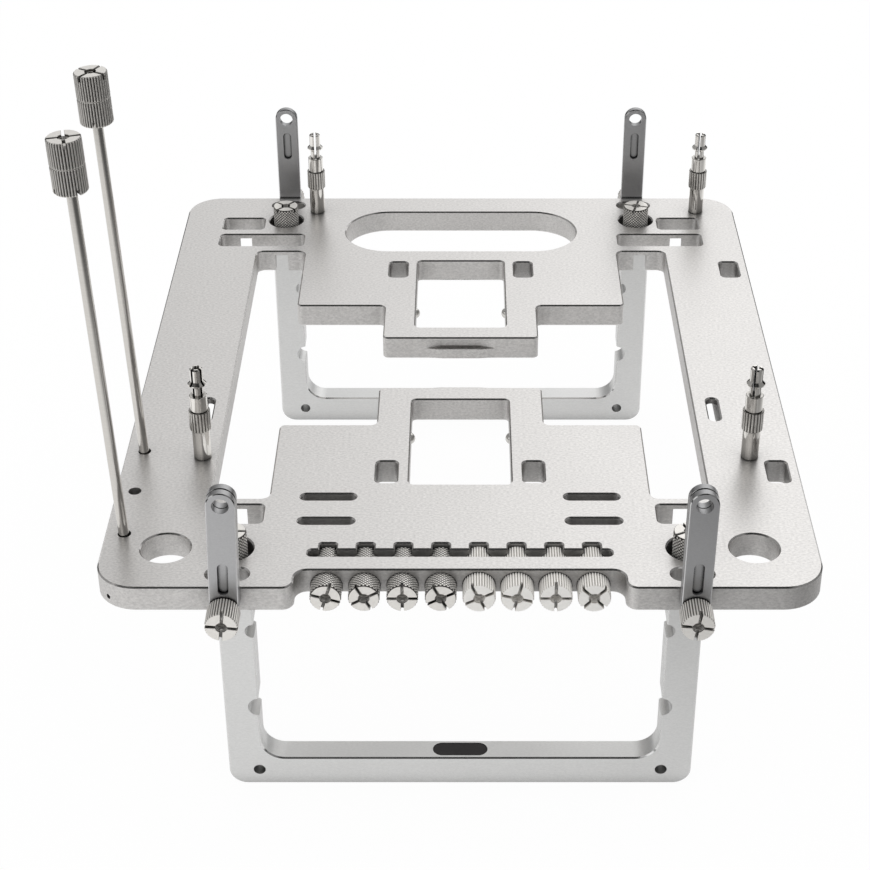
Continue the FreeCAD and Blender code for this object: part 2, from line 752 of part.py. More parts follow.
def main():
    """Move every piece into the part's frame and write one STEP file for each."""
    os.makedirs("parts", exist_ok=True)
    for name, shape in build().items():
        placed = moved(shape, *frame_shift)
        if not placed.isValid():
            raise ValueError("invalid solid: " + name)
        placed.exportStep(os.path.join("parts", name + ".step"))
        print(name, "solids", len(placed.Solids), "volume %.1f" % placed.Volume)
    print("frame shift", tuple(round(value, 4) for value in frame_shift))


main()
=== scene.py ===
import math

import bmesh
import bpy
from mathutils import Matrix, Vector


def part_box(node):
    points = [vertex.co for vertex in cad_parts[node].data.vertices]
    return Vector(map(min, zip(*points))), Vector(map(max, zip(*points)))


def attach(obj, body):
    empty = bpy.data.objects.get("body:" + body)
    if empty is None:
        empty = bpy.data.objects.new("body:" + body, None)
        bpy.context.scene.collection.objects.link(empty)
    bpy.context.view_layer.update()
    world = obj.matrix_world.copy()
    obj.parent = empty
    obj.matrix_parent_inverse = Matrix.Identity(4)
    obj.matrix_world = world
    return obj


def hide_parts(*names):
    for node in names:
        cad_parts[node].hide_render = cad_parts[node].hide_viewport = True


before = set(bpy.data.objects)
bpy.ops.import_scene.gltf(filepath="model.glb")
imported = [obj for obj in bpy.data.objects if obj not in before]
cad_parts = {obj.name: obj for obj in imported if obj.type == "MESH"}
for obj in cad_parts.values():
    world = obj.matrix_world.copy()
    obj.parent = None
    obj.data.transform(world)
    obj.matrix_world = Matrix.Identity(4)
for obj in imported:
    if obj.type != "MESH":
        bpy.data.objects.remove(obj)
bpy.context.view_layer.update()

bl_info = {
    "name": "Open Air Test Bench",
    "version": (1, 0, 0),
    "blender": (4, 5, 0),
    "location": "View3D > Sidebar > Test Bench",
    "description": "Dresses the open air test bench: turned hardware, surface finishes and the studio",
    "category": "Object",
}

MM = 0.001
WELD = 0.0005 * MM
NEAR = 0.01 * MM
# Distance from a rim to the extra ring that keeps the shading of long ridges straight
RIM_HOLD = 0.12 * MM
# Turn between two faces past which the edge between them stays sharp
SHARP_FROM = math.radians(40)
HOLE_STEPS = 48
BENCH = "bench"

CORNERS = ("front_left", "front_right", "rear_left", "rear_right")
ARMS = ("front_left_arm", "front_left_outer_arm", "front_right_arm", "front_right_outer_arm",
        "rear_left_arm", "rear_right_arm")

# How far each slotted face is turned about its own axis, in degrees
POST_TURNS = (-17, 29, 0, 27, 26, -14, 0, 45)
LEG_SCREW_TURNS = {"front_left": 0, "front_right": 25, "rear_left": 50, "rear_right": 75}
ARM_SCREW_TURNS = {"front_left": -6, "front_right": -8, "rear_left": -6, "rear_right": 6}
STANDOFF_TURNS = {"front_left": 53, "front_right": 66, "rear_left": 5, "rear_right": 75}
NUT_TURNS = {"front": (12, 53), "rear": (59, 0)}

# Share of the groove's depth at each column of one ridge, from groove to crest and back
RIDGE_PROFILE = (1.0, 0.5, 0.1, 0.0, 0.1, 0.5)

# Turn, to the right of the camera, of the side towards which the painted light on the floor
# falls to dark, as metal mirrors it
DARK_SIDE = math.radians(55)

# Painted shade in the hollows of plated hardware: how far they are felt, the open shares of the view
# at which the painted shade is darkest and ends, and the darkest tone
PLATED_HOLLOW_SHADE = {"reach": 1.2 * MM, "closed_at": 0.2, "open_from": 0.8, "darkest": 0.05}

FACING_UP = Matrix.Identity(4)
FACING_FRONT = Matrix.Rotation(math.radians(90), 4, "X")
FACING_REAR = Matrix.Rotation(math.radians(-90), 4, "X")


def linear(hex_colour):
    """Turn an sRGB hex colour into linear red, green, blue and alpha."""
    channels = [int(hex_colour[i:i + 2], 16) / 255 for i in (1, 3, 5)]
    return tuple(c / 12.92 if c <= 0.04045 else ((c + 0.055) / 1.055) ** 2.4 for c in channels) + (1.0,)


def colour_property(name, description, hex_colour):
    """A colour that the user can change, given as an sRGB hex value."""
    return bpy.props.FloatVectorProperty(name=name, description=description, subtype="COLOR", size=4,
                                         min=0.0, max=1.0, default=linear(hex_colour))


def length_property(name, description, millimetres):
    """A length that the user can change, given in millimetres."""
    return bpy.props.FloatProperty(name=name, description=description, unit="LENGTH", min=0.0,
                                   precision=5, default=millimetres * MM)


class HardwareSizes(bpy.types.PropertyGroup):
    """Sizes of the knurled and slotted hardware."""
    ridge_count: bpy.props.IntProperty(name="Ridges", default=36, min=8,
                                       description="Straight ridges round a knurled head")
    ridge_depth: length_property("Ridge depth", "Depth of the grooves between straight ridges", 0.3)
    diamond_count: bpy.props.IntProperty(name="Diamonds", default=26, min=8,
                                         description="Diamonds round a fine-knurled head")
    diamond_length: length_property("Diamond length", "Length of one diamond along the axis", 1.0)
    diamond_depth: length_property("Diamond depth", "Height of the diamonds over their grooves", 0.18)
    diamond_gap: length_property("Diamond gap", "Half the width of the groove between diamonds", 0.06)
    diamond_edge: length_property("Diamond flank", "Width of the sloping flank round each diamond", 0.05)
    rim_bevel: length_property("Rim bevel", "Bevel round both ends of a knurled body", 0.3)
    fine_bevel: length_property("Fine rim bevel", "Bevel round both ends of a diamond-knurled body", 0.1)
    slot_width: length_property("Slot width", "Width of the crossed slots in a face", 0.8)
    slot_depth: length_property("Slot depth", "Depth of the crossed slots in a face", 1.6)
    slot_flare: length_property("Broken edge", "Small bevel along slots and holes", 0.08)
    face_hole: length_property("Face hole", "Diameter of the hole in a slotted face", 3.0)
    face_hole_depth: length_property("Face hole depth", "Depth of the hole in a slotted face", 3.5)
    tap_pitch: length_property("Tap pitch", "Distance between the threads in a face hole", 0.6)
    tap_depth: length_property("Tap depth", "Depth of the threads in a face hole", 0.22)
    thread_pitch: length_property("Thread pitch", "Distance from one thread to the next", 0.7)
    thread_depth: length_property("Thread depth", "Depth of the thread", 0.3)


class FinishColours(bpy.types.PropertyGroup):
    """Colours of the finishes."""
    plate: colour_property("Plate", "Brushed and anodised plate", "#DAD8D6")
    leg: colour_property("Legs", "Satin anodised legs", "#DEDEDD")
    arm: colour_property("Arms", "Grey anodised arms", "#BCBCBD")
    cut_edge: colour_property("Cut edges", "Bare metal where an arm's edges were broken", "#C6C6C6")
    nickel: colour_property("Nickel", "Nickel plate on crests and faces", "#F2EFEA")
    satin_nickel: colour_property("Satin nickel", "Satin nickel plate on crests and faces", "#FBF9F5")
    # The groove colours are painted shade for the bottoms of grooves and thread roots
    nickel_groove_shade: colour_property("Nickel grooves", "Nickel plate down in grooves", "#362F2A")
    fine_groove_shade: colour_property("Fine grooves", "Nickel plate down in the fine knurl", "#2B2521")
    open_groove_shade: colour_property("Open grooves", "Nickel plate down in the posts' ridges", "#C6C0B8")
    steel: colour_property("Steel", "Polished steel rods", "#D4D1CC")
    pin: colour_property("Ball pins", "Ground steel ball pins", "#D8D6D2")
    pad: colour_property("Pads", "Black rubber pads", "#2C292A")


class StudioSettings(bpy.types.PropertyGroup):
    """The camera and the light."""
    focal_length: bpy.props.FloatProperty(name="Focal length", default=83.02, min=1.0,
                                          description="Focal length of the lens, in mm")
    look_down: bpy.props.FloatProperty(name="Look down", description="Angle of the view below level",
                                       subtype="ANGLE", default=math.radians(32.396))
    camera_back: length_property("Camera distance", "Level distance from the plate's middle", 530.07)
    camera_up: length_property("Camera height", "Height over the plate's top", 309.88)
    camera_right: length_property("Camera right", "Distance to the right of the plate's middle", 1.04)
    shade: bpy.props.FloatProperty(name="Shade", description="Brightness of the dark side of the studio",
                                   default=0.04, min=0.0, max=1.0)
    lamp_power: bpy.props.FloatProperty(name="Lamp", description="Power of the overhead soft box",
                                        unit="POWER", default=0.8, min=0.0)


def add_node(tree, kind, inputs=None, **settings):
    """Add a shader node with its settings; an input is a value or the output that feeds it."""
    node = tree.nodes.new(kind)
    for name, value in settings.items():
        setattr(node, name, value)
    for name, value in (inputs or {}).items():
        if isinstance(value, bpy.types.NodeSocket):
            tree.links.new(value, node.inputs[name])
        else:
            node.inputs[name].default_value = value
    return node


def new_finish(name, roughness, metallic=1.0):
    """Start a material and return it with its node tree and its shader."""
    finish = bpy.data.materials.new(name)
    finish.use_nodes = True
    tree = finish.node_tree
    shader = tree.nodes["Principled BSDF"]
    shader.inputs["Metallic"].default_value = metallic
    shader.inputs["Roughness"].default_value = roughness
    return finish, tree, shader


def paint_hollow_shade(tree, reach, closed_at, open_from, darkest):
    """Painted shade in hollows: a tone of 1 where the metal leaves open_from of the view, down to
    darkest at closed_at of it.
    """
    closed = add_node(tree, "ShaderNodeAmbientOcclusion", {"Distance": reach}, samples=6)
    return add_node(tree, "ShaderNodeMapRange", {"Value": closed.outputs["AO"], "From Min": closed_at,
                                                 "From Max": open_from, "To Min": darkest,
                                                 "To Max": 1.0})


def anodised_finish(name, colour, face_axis, streak, grain_tone, wall_shade_tone, roughness,
                    wall_roughness, hollow_shade, cut_colour=None):
    """Anodised aluminium: fine streaks on the faces across face_axis, milled walls darkened by painted
    shade on top of their duller surface, and painted shade in the hollows.
    """
    finish, tree, shader = new_finish(name, roughness)
    place = add_node(tree, "ShaderNodeTexCoord")
    streak_length, streak_width = streak
    streak_size = [streak_length, streak_width, streak_width]
    drawn = add_node(tree, "ShaderNodeMapping", {"Vector": place.outputs["Object"],
                                                 "Scale": [1 / length for length in streak_size]})
    grain = add_node(tree, "ShaderNodeTexNoise", {"Vector": drawn.outputs["Vector"], "Scale": 1.0,
                                                  "Detail": 3.0, "Roughness": 0.65})
    cloud_size, cloud_tone = 18 * MM, 0.05
    cloud = add_node(tree, "ShaderNodeTexNoise", {"Vector": place.outputs["Object"],
                                                  "Scale": 1 / cloud_size, "Detail": 2.0})
    # How squarely the surface faces along face_axis tells faces, broken edges and walls apart
    facing = add_node(tree, "ShaderNodeSeparateXYZ", {"Vector": place.outputs["Normal"]})
    level = add_node(tree, "ShaderNodeMath", {0: facing.outputs[face_axis]}, operation="ABSOLUTE")
    face_ends, wall_starts = 0.6, 0.3
    wall = add_node(tree, "ShaderNodeMapRange", {"Value": level.outputs[0], "From Min": face_ends,
                                                 "From Max": wall_starts})
    broken_edge, edge_spread = 0.7, 0.2
    cut = add_node(tree, "ShaderNodeMath", {0: level.outputs[0], 1: broken_edge, 2: edge_spread},
                   operation="COMPARE")
    grain_low, grain_high = 0.25, 0.75
    grained = add_node(tree, "ShaderNodeMapRange", {"Value": grain.outputs["Fac"],
                                                    "From Min": grain_low, "From Max": grain_high,
                                                    "To Min": 1 - grain_tone / 2,
                                                    "To Max": 1 + grain_tone / 2})
    clouded = add_node(tree, "ShaderNodeMath", {0: cloud.outputs["Fac"], 1: cloud_tone,
                                                2: 1 - cloud_tone / 2}, operation="MULTIPLY_ADD")
    # Darker walls: painted shade, together with the duller milled surface
    milled_and_shaded = add_node(tree, "ShaderNodeMath", {0: wall.outputs[0], 1: wall_shade_tone - 1, 2: 1.0},
                      operation="MULTIPLY_ADD")
    # The tone multiplies the real grain and clouds by the painted shade on walls and in hollows
    tone = grained
    for other in (clouded, milled_and_shaded, paint_hollow_shade(tree, **hollow_shade)):
        tone = add_node(tree, "ShaderNodeMath", {0: tone.outputs[0], 1: other.outputs[0]},
                        operation="MULTIPLY")
    base = add_node(tree, "ShaderNodeMix", {0: cut.outputs[0], 6: colour, 7: cut_colour or colour},
                    data_type="RGBA")
    toned = add_node(tree, "ShaderNodeVectorMath", {0: base.outputs[2], "Scale": tone.outputs[0]},
                     operation="SCALE")
    cut_roughness = 0.16
    gloss = add_node(tree, "ShaderNodeMapRange", {"Value": wall.outputs[0], "To Min": roughness,
                                                  "To Max": wall_roughness})
    gloss = add_node(tree, "ShaderNodeMapRange", {"Value": cut.outputs[0], "To Min": gloss.outputs[0],
                                                  "To Max": cut_roughness})
    relief = add_node(tree, "ShaderNodeBump", {"Height": grain.outputs["Fac"], "Strength": 0.3,
                                               "Distance": 0.02 * MM})
    tree.links.new(toned.outputs[0], shader.inputs["Base Color"])
    tree.links.new(gloss.outputs[0], shader.inputs["Roughness"])
    tree.links.new(relief.outputs[0], shader.inputs["Normal"])
    return finish


def brushed_plate_finish():
    """Finish of the base plate."""
    # Milled aluminium plate, brushed along its width and clear anodised: a warm light grey satin with
    # short fibre-like streaks. They are drawn 0.5 mm wide, coarser than real, so that they show.
    colour = bpy.context.scene.bench_finish.plate
    # Painted shade in the plate's slots, holes and windows and round the pieces on it
    hollow_shade = {"reach": 9 * MM, "closed_at": 0.1, "open_from": 0.9, "darkest": 0.35}
    return anodised_finish("brushed_anodised_plate", colour, "Z", streak=(0.85 * MM, 0.5 * MM),
                           grain_tone=0.4, wall_shade_tone=0.95, roughness=0.36, wall_roughness=0.5,
                           hollow_shade=hollow_shade)


def satin_leg_finish():
    """Finish of the leg frames."""
    # The same plate stock cut to narrow bars and anodised: slightly cooler and smoother than the plate.
    # Its streaks are drawn 0.35 mm wide, coarser than real, so that they show.
    colour = bpy.context.scene.bench_finish.leg
    # Painted shade in the legs' hollows and corners
    hollow_shade = {"reach": 7 * MM, "closed_at": 0.1, "open_from": 0.75, "darkest": 0.3}
    return anodised_finish("satin_anodised_bar", colour, "Y", streak=(0.8 * MM, 0.35 * MM),
                           grain_tone=0.12, wall_shade_tone=0.98, roughness=0.42, wall_roughness=0.42,
                           hollow_shade=hollow_shade)


def grey_arm_finish():
    """Finish of the swinging arms."""
    # Thin bar anodised a darker grey, its edges broken afterwards: a dense satin with bright rims.
    colours = bpy.context.scene.bench_finish
    # Painted shade, darkest along the inner corners of the arms' grooves and holes
    hollow_shade = {"reach": 0.9 * MM, "closed_at": 0.5, "open_from": 0.97, "darkest": 0.0}
    finish = anodised_finish("grey_anodised_bar", colours.arm, "Y", streak=(0.5 * MM, 0.35 * MM),
                             grain_tone=0.12, wall_shade_tone=0.75, roughness=0.4, wall_roughness=0.34,
                             hollow_shade=hollow_shade, cut_colour=colours.cut_edge)
    # Painted shadow line where the two stacked front arms meet
    paint_seam_shadow(finish, (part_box("front_left_arm")[0].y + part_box("front_left_outer_arm")[1].y) / 2)
    return finish


def paint_seam_shadow(finish, seam_y):
    """Paint the dark shadow line that shows in the holes and on the sides where two stacked arms meet."""
    tree = finish.node_tree
    seam_reach, seam_shadow_tone = 0.22 * MM, 0.12
    place = add_node(tree, "ShaderNodeTexCoord")
    along = add_node(tree, "ShaderNodeSeparateXYZ", {"Vector": place.outputs["Object"]})
    # Painted shadow on every surface within seam_reach of the seam's Y, so also on the whole faces where
    # the arms touch
    seam = add_node(tree, "ShaderNodeMath", {0: along.outputs["Y"], 1: seam_y, 2: seam_reach},
                    operation="COMPARE")
    tone = add_node(tree, "ShaderNodeMapRange", {"Value": seam.outputs[0], "To Min": 1.0,
                                                 "To Max": seam_shadow_tone})
    base = tree.nodes["Principled BSDF"].inputs["Base Color"]
    toned = add_node(tree, "ShaderNodeVectorMath", {0: base.links[0].from_socket,
                                                    "Scale": tone.outputs[0]}, operation="SCALE")
    tree.links.new(toned.outputs[0], base)


def nickel_finish(name, crest_colour, groove_shade_colour, roughness, metallic, hollow_shade=PLATED_HOLLOW_SHADE):
    """Nickel-plated steel with painted shade down in its grooves, read from the mesh's groove attribute,
    and in its hollows.
    """
    finish, tree, shader = new_finish(name, roughness, metallic)
    groove_roughness = 0.5
    depth = add_node(tree, "ShaderNodeAttribute", attribute_name="groove")
    place = add_node(tree, "ShaderNodeTexCoord")
    stain_size, stain_tone = 0.8 * MM, 0.12
    stain = add_node(tree, "ShaderNodeTexNoise", {"Vector": place.outputs["Object"], "Detail": 2.0,
                                                  "Scale": 1 / stain_size})
    stain_and_shade = add_node(tree, "ShaderNodeMapRange", {"Value": stain.outputs["Fac"], "To Min": 1 - stain_tone,
                                                 "To Max": 1.0})
    # Painted shade in the hollows darkens the real random stain
    stain_and_shade = add_node(tree, "ShaderNodeMath", {0: stain_and_shade.outputs[0],
                                             1: paint_hollow_shade(tree, **hollow_shade).outputs[0]},
                    operation="MULTIPLY")
    # The groove colour is painted shade, blended in by how deep the point lies in a groove
    blend = add_node(tree, "ShaderNodeMix", {0: depth.outputs["Fac"], 6: crest_colour, 7: groove_shade_colour},
                     data_type="RGBA")
    stained_and_shaded = add_node(tree, "ShaderNodeVectorMath", {0: blend.outputs[2], "Scale": stain_and_shade.outputs[0]},
                      operation="SCALE")
    dull = add_node(tree, "ShaderNodeMapRange", {"Value": depth.outputs["Fac"], "To Min": roughness,
                                                 "To Max": groove_roughness})
    tree.links.new(stained_and_shaded.outputs[0], shader.inputs["Base Color"])
    tree.links.new(dull.outputs[0], shader.inputs["Roughness"])
    return finish


def bright_nickel_finish():
    """Finish of the arm thumbscrews."""
    # Turned steel with a thick bright nickel plate: nearly white warm metal with crisp grooves darkened
    # by painted shade.
    colours = bpy.context.scene.bench_finish
    return nickel_finish("bright_nickel_plate", colours.nickel, colours.nickel_groove_shade,
                         roughness=0.36, metallic=0.5)


def plain_nickel_finish():
    """Finish of the rod nuts."""
    # Turned steel with a thin nickel plate: greyer ridges with crisp grooves darkened by painted shade.
    colours = bpy.context.scene.bench_finish
    return nickel_finish("plain_nickel_plate", colours.nickel, colours.nickel_groove_shade,
                         roughness=0.36, metallic=0.88)


def satin_nickel_finish():
    """Finish of the straight-knurled spare posts."""
    # Unused posts with satin nickel plate: soft and almost white, with thin clean grooves lightly
    # darkened by painted shade.
    colours = bpy.context.scene.bench_finish
    # Painted shade in the posts' grooves, slots and holes
    hollow_shade = {"reach": 1.2 * MM, "closed_at": 0.3, "open_from": 0.65, "darkest": 0.05}
    return nickel_finish("satin_nickel_plate", colours.satin_nickel, colours.open_groove_shade,
                         roughness=0.4, metallic=0.25, hollow_shade=hollow_shade)


def fine_knurl_finish():
    """Finish of the diamond-knurled hardware."""
    # The same plating over a fine diamond knurl: small bright crests in a net darkened brown-grey by
    # painted shade.
    colours = bpy.context.scene.bench_finish
    return nickel_finish("knurled_nickel_plate", colours.nickel, colours.fine_groove_shade,
                         roughness=0.35, metallic=0.5)


def polished_nickel_finish():
    """Finish of the snap standoffs."""
    # The same plating on finely turned spring brass: nearly a mirror, with hard light and dark bands.
    colours = bpy.context.scene.bench_finish
    # Painted shade, darkest round the foot on the plate and in the split and bore
    hollow_shade = {"reach": 5 * MM, "closed_at": 0.3, "open_from": 0.9, "darkest": 0.0}
    return nickel_finish("polished_nickel_plate", colours.nickel, colours.nickel_groove_shade,
                         roughness=0.08, metallic=1.0, hollow_shade=hollow_shade)


def tone_colour(tree, shader, colour, pattern, low, high):
    """Give the shader a colour that a pattern from 0 to 1 takes from the tone low to the tone high."""
    tone = add_node(tree, "ShaderNodeMapRange", {"Value": pattern, "To Min": low, "To Max": high})
    toned = add_node(tree, "ShaderNodeVectorMath", {0: tuple(colour)[:3], "Scale": tone.outputs[0]},
                     operation="SCALE")
    tree.links.new(toned.outputs[0], shader.inputs["Base Color"])


def polished_steel_finish():
    """Finish of the card rods."""
    # Centreless-ground steel wire rod, polished: sharp lengthwise reflections with faint ground rings.
    colour = bpy.context.scene.bench_finish.steel
    finish, tree, shader = new_finish("ground_steel_rod", 0.16)
    place = add_node(tree, "ShaderNodeTexCoord")
    ring_pitch, ring_breadth = 0.3 * MM, 20 * MM
    ring_scale = (1 / ring_breadth, 1 / ring_breadth, 1 / ring_pitch)
    rings = add_node(tree, "ShaderNodeMapping", {"Vector": place.outputs["Object"],
                                                 "Scale": ring_scale})
    marks = add_node(tree, "ShaderNodeTexNoise", {"Vector": rings.outputs["Vector"], "Scale": 1.0})
    tone_colour(tree, shader, colour, marks.outputs["Fac"], low=0.9, high=1.05)
    relief = add_node(tree, "ShaderNodeBump", {"Height": marks.outputs["Fac"], "Strength": 0.2,
                                               "Distance": 0.01 * MM})
    tree.links.new(relief.outputs[0], shader.inputs["Normal"])
    return finish


def ball_pin_finish():
    """Finish of the ball pins in the window walls."""
    # Ground steel ball in a plain seat: bright and smooth, with a small sharp highlight.
    colour = bpy.context.scene.bench_finish.pin
    finish, tree, shader = new_finish("ground_ball_steel", 0.2)
    place = add_node(tree, "ShaderNodeTexCoord")
    film_size = 0.9 * MM
    film = add_node(tree, "ShaderNodeTexNoise", {"Vector": place.outputs["Object"],
                                                 "Scale": 1 / film_size})
    tone_colour(tree, shader, colour, film.outputs["Fac"], low=0.9, high=1.05)
    return finish


def rubber_pad_finish():
    """Finish of the pads in the legs."""
    # Moulded rubber, almost black, matte with a fine pebbled skin.
    colour = bpy.context.scene.bench_finish.pad
    finish, tree, shader = new_finish("moulded_rubber", 0.7, metallic=0.0)
    place = add_node(tree, "ShaderNodeTexCoord")
    pebble_size = 0.4 * MM
    pebbles = add_node(tree, "ShaderNodeTexVoronoi", {"Vector": place.outputs["Object"],
                                                      "Scale": 1 / pebble_size})
    tone_colour(tree, shader, colour, pebbles.outputs["Distance"], low=1.1, high=0.8)
    relief = add_node(tree, "ShaderNodeBump", {"Height": pebbles.outputs["Distance"], "Strength": 0.4,
                                               "Distance": 0.05 * MM}, invert=True)
    tree.links.new(relief.outputs[0], shader.inputs["Normal"])
    return finish


def shared_finish(maker):
    """Make a finish once, the first time that a piece needs it."""
    made = shared_finish.made
    if maker.__name__ not in made:
        made[maker.__name__] = maker()
    return made[maker.__name__]


shared_finish.made = {}


def dress_node(node, maker):
    """Give a carried-over CAD node its finish."""
    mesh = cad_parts[node].data
    mesh.materials.clear()
    mesh.materials.append(shared_finish(maker))


def turned_blank(profile, steps):
    """Turn a profile of (radius, height) points once round Z into a closed body."""
    blank = bmesh.new()
    points = [blank.verts.new((radius, 0.0, height)) for radius, height in profile]
    edges = [blank.edges.new(pair) for pair in zip(points, points[1:])]
    bmesh.ops.spin(blank, geom=points + edges, axis=(0, 0, 1), cent=(0, 0, 0), dvec=(0, 0, 0),
                   angle=2 * math.pi, steps=steps, use_merge=True, use_duplicate=False)
    bmesh.ops.remove_doubles(blank, verts=blank.verts, dist=WELD)
    bmesh.ops.recalc_face_normals(blank, faces=blank.faces)
    return blank


def straight_knurl(blank, crest, count, depth, low, high):
    """Pull the columns of the crest surface in, between two heights, to leave round-topped ridges."""
    column_angle = 2 * math.pi / (len(RIDGE_PROFILE) * count)
    columns = [[] for share in RIDGE_PROFILE]
    for vert in blank.verts:
        if abs(vert.co.xy.length - crest) < NEAR and low - NEAR < vert.co.z < high + NEAR:
            column = round(math.atan2(vert.co.y, vert.co.x) / column_angle)
            columns[column % len(RIDGE_PROFILE)].append(vert)
    for share, verts in zip(RIDGE_PROFILE, columns):
        drawn_in = 1 - share * depth / crest
        bmesh.ops.scale(blank, vec=(drawn_in, drawn_in, 1.0), verts=verts)


def diamond_knurl(blank, valley, rows, count, gap, flank, depth):
    """Raise a net of diamonds from the valley surface, whose rings lie at the heights in rows."""
    column_angle = math.pi / count
    # Every second point of the grid is a corner of four diamonds, and the rest lie in their middles
    odd, even = [], []
    for vert in blank.verts:
        if abs(vert.co.xy.length - valley) > NEAR:
            continue
        row = min(range(len(rows)), key=lambda i: abs(rows[i] - vert.co.z))
        if abs(rows[row] - vert.co.z) > NEAR:
            continue
        column = round(math.atan2(vert.co.y, vert.co.x) / column_angle)
        if (row + column) % 2:
            odd.append(vert)
        elif 0 < row < len(rows) - 1:
            even.append(vert)
    bmesh.ops.connect_verts(blank, verts=odd)
    bmesh.ops.dissolve_verts(blank, verts=even)
    low, high = min(rows) - NEAR, max(rows) + NEAR
    diamonds = [face for face in blank.faces if len(face.verts) == 4
                and all(abs(vert.co.xy.length - valley) < NEAR and low < vert.co.z < high
                        for vert in face.verts)]
    bmesh.ops.inset_individual(blank, faces=diamonds, thickness=gap, depth=0.0, use_even_offset=True)
    bmesh.ops.inset_individual(blank, faces=diamonds, thickness=flank, depth=depth,
                               use_even_offset=True)


def slot_tool(length, width, depth, flare, turn):
    """Bar that cuts one slot down from height 0, with a flared top that breaks its edges."""
    half = width / 2
    outline = [(-half, -depth), (half, -depth), (half, -flare)]
    outline += [(half + 2 * flare, flare), (-half - 2 * flare, flare), (-half, -flare)]
    tool = bmesh.new()
    face = tool.faces.new([tool.verts.new((-length / 2, y, z)) for y, z in outline])
    grown = bmesh.ops.extrude_face_region(tool, geom=[face])["geom"]
    far_end = [item for item in grown if isinstance(item, bmesh.types.BMVert)]
    bmesh.ops.translate(tool, vec=(length, 0, 0), verts=far_end)
    bmesh.ops.recalc_face_normals(tool, faces=tool.faces)
    bmesh.ops.rotate(tool, cent=(0, 0, 0), matrix=Matrix.Rotation(math.radians(turn), 3, "Z"),
                     verts=tool.verts)
    return tool


def hole_tool(diameter, depth, flare, tap=(0.0, 0.0)):
    """Round tool that cuts a hole down from height 0, breaks its edge and taps it with ring threads."""
    radius = diameter / 2
    pitch, thread = tap
    thread_count = math.floor((depth - flare) / pitch) - 1 if pitch else 0
    profile = [(0, -depth), (radius, -depth)]
    for turn in range(thread_count, 0, -1):
        profile += [(radius, -(turn + 0.5) * pitch), (radius + thread, -turn * pitch)]
    profile += [(radius, -flare), (radius + 2 * flare, flare), (0, flare)]
    return turned_blank(profile, HOLE_STEPS)


def as_object(name, form):
    """Turn a bmesh into an object of the scene."""
    mesh = bpy.data.meshes.new(name)
    form.to_mesh(mesh)
    form.free()
    made = bpy.data.objects.new(name, mesh)
    bpy.context.scene.collection.objects.link(made)
    return made


def cut_away(blank, tools):
    """Cut the tools out of a blank, and return the finished mesh."""
    bmesh.ops.triangulate(blank, faces=blank.faces)
    body = as_object("blank", blank)
    cutters = [as_object("tool", tool) for tool in tools]
    for cutter in cutters:
        cut = body.modifiers.new("cut", "BOOLEAN")
        cut.operation = "DIFFERENCE"
        cut.solver = "EXACT"
        cut.object = cutter
    graph = bpy.context.evaluated_depsgraph_get()
    finished = bpy.data.meshes.new_from_object(body.evaluated_get(graph), depsgraph=graph)
    for spent in [body] + cutters:
        mesh = spent.data
        bpy.data.objects.remove(spent)
        bpy.data.meshes.remove(mesh)
    return finished


def mark_grooves(mesh, depth_at):
    """Store on each point how deep in a groove it lies, from 0 on a crest to 1 at the bottom."""
    layer = mesh.attributes.new("groove", "FLOAT", "POINT")
    for vert, stored in zip(mesh.vertices, layer.data):
        stored.value = min(1.0, max(0.0, depth_at(vert.co.xy.length, vert.co.z)))


def fit_piece(name, mesh, node, place, maker):
    """Put a finished mesh in its place, as the piece that stands for a CAD node."""
    mesh.transform(place)
    mesh.shade_smooth()
    mesh.set_sharp_from_angle(angle=SHARP_FROM)
    mesh.materials.clear()
    mesh.materials.append(shared_finish(maker))
    piece = bpy.data.objects.new(name, mesh)
    bpy.context.scene.collection.objects.link(piece)
    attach(piece, BENCH)
    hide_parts(node)


def face_profile(crest, length, bevel, rows=None):
    """Profile of a knurled body under a face at height 0, from the face's middle to the rim below."""
    sides = rows or [-bevel, -bevel - RIM_HOLD, bevel + RIM_HOLD - length, bevel - length]
    profile = [(0, 0), (crest - bevel, 0)] + [(crest, height) for height in sides]
    return profile + [(crest - bevel, -length)]


def threaded_profile(shoulder, shoulder_length, crest, start, end):
    """Profile of a stem below a head: a plain shoulder, ring threads and a bevelled tip."""
    sizes = bpy.context.scene.bench_hardware
    profile = []
    height = start
    if shoulder_length > 0:
        profile = [(shoulder, height), (shoulder, height - shoulder_length)]
        height -= shoulder_length
    root = crest - sizes.thread_depth
    profile.append((root, height))
    while height - 2 * sizes.thread_pitch > end:
        profile += [(crest, height - sizes.thread_pitch / 2), (root, height - sizes.thread_pitch)]
        height -= sizes.thread_pitch
    return profile + [(crest, height - sizes.thread_pitch / 2), (root, end), (0, end)]


def slotted(blank, crest, valley, turn, hole, hole_depth, length):
    """Cut the crossed slots and the face hole into a knurled blank, and mark its grooves."""
    sizes = bpy.context.scene.bench_hardware
    reach = 3 * crest
    tools = [slot_tool(reach, sizes.slot_width, sizes.slot_depth, sizes.slot_flare, turn + quarter)
             for quarter in (0, 90)]
    tools.append(hole_tool(hole, hole_depth, sizes.slot_flare, (sizes.tap_pitch, sizes.tap_depth)))
    mesh = cut_away(blank, tools)

    def depth_at(radius, height):
        if -length + NEAR < height < -NEAR and radius > valley - NEAR:
            return (crest - radius) / (crest - valley)
        # Thread roots in the face hole count as full groove depth, so they take the painted groove shade
        in_thread = height < -2 * sizes.slot_flare and abs(radius - hole / 2 - sizes.tap_depth) < NEAR
        return 1.0 if in_thread else 0.0

    mark_grooves(mesh, depth_at)
    return mesh


